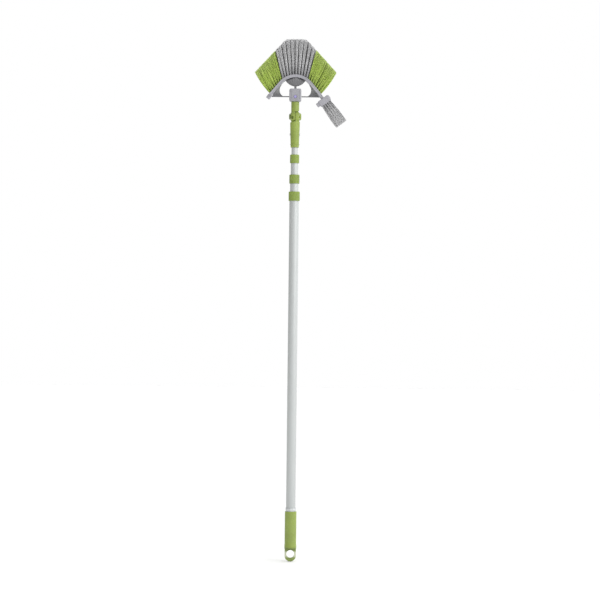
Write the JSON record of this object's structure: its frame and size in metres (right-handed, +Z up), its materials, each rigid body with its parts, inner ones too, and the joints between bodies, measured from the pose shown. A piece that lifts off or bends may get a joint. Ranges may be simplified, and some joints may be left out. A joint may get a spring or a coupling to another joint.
{
  "type": "telescopic cleaning pole",
  "caption": "Telescopic cleaning pole with twist locks, a tilting knuckle and a fan-shaped bristle head that carries a small detail brush.",
  "frame": {"origin": "centre of the hole in the hanging loop at the pole's lower end", "axes": "+Z up the pole towards the brush head, -Y to the front, which shows the fan's broad side, +X to the side that carries the detail brush"},
  "size_m": [0.2721, 0.046, 1.5392],
  "materials": {
    "green_plastic": "satin",
    "dark_green_plastic": "satin",
    "grey_plastic": "satin",
    "dark_grey_plastic": "matte",
    "bluish_plastic": "gloss",
    "silver_tube": "satin",
    "steel": "satin",
    "fibre_washer": "matte",
    "grey_bristle": "matte",
    "green_bristle": "matte"
  },
  "bodies": {
    "pole": {"hang_loop_cap": "dark_green_plastic", "hand_grip": "green_plastic", "grip_trim_ring": "silver_tube", "outer_tube": "silver_tube", "collet_1": "grey_plastic"},
    "lock_1": {"lock_collar_1": "green_plastic"},
    "section_2": {"tube_2": "silver_tube", "glide_bush_2": "grey_plastic", "collet_2": "grey_plastic"},
    "lock_2": {"lock_collar_2": "green_plastic"},
    "section_3": {"tube_3": "silver_tube", "glide_bush_3": "grey_plastic", "collet_3": "grey_plastic"},
    "lock_3": {"lock_collar_3": "green_plastic"},
    "section_4": {"tube_4": "silver_tube", "glide_bush_4": "grey_plastic", "knuckle_sleeve": "green_plastic", "sleeve_rivet": "steel", "pivot_bolt": "dark_green_plastic"},
    "clamp": {"clamp_knob": "green_plastic"},
    "knuckle": {"knuckle_arm": "green_plastic", "friction_washer": "fibre_washer"},
    "head": {"head_socket": "grey_plastic", "button_spring": "steel", "keel_boss": "dark_grey_plastic", "head_block": "grey_plastic", "left_brace": "dark_grey_plastic", "right_brace": "dark_grey_plastic", "centre_bristles": "grey_bristle", "left_bristles": "green_bristle", "right_bristles": "green_bristle"},
    "button": {"release_button": "bluish_plastic"},
    "detail": {"detail_holder": "grey_plastic", "detail_bristles": "grey_bristle"}
  },
  "joints": [
    {"name": "lock_1_twist", "type": "hinge", "parent": "pole", "child": "lock_1", "pos_m": [0, 0, 1.0548], "axis": [0, 0, 1], "range_deg": [0, 150]},
    {"name": "section_2_slide", "type": "slide", "parent": "pole", "child": "section_2", "axis": [0, 0, 1], "range_m": [0, 0.85]},
    {"name": "lock_2_twist", "type": "hinge", "parent": "section_2", "child": "lock_2", "pos_m": [0, 0, 1.1053], "axis": [0, 0, 1], "range_deg": [0, 150]},
    {"name": "section_3_slide", "type": "slide", "parent": "section_2", "child": "section_3", "axis": [0, 0, 1], "range_m": [0, 0.85]},
    {"name": "lock_3_twist", "type": "hinge", "parent": "section_3", "child": "lock_3", "pos_m": [0, 0, 1.1648], "axis": [0, 0, 1], "range_deg": [0, 150]},
    {"name": "section_4_slide", "type": "slide", "parent": "section_3", "child": "section_4", "axis": [0, 0, 1], "range_m": [0, 0.85]},
    {"name": "clamp_turn", "type": "hinge", "parent": "section_4", "child": "clamp", "pos_m": [0.0158, 0, 1.2893], "axis": [1, 0, 0], "range_deg": [0, 180]},
    {"name": "knuckle_tilt", "type": "hinge", "parent": "section_4", "child": "knuckle", "pos_m": [0, 0, 1.2893], "axis": [1, 0, 0], "range_deg": [-90, 90]},
    {"name": "head_pull", "type": "slide", "parent": "knuckle", "child": "head", "axis": [0, 0, 1], "range_m": [0, 0.03]},
    {"name": "button_press", "type": "slide", "parent": "head", "child": "button", "axis": [0, 1, 0], "range_m": [0, 0.0014], "stiffness_N_per_m": 600, "springref_m": -0.001},
    {"name": "detail_pull", "type": "slide", "parent": "head", "child": "detail", "axis": [0.6018, 0, -0.7986], "range_m": [0, 0.013]}
  ]
}
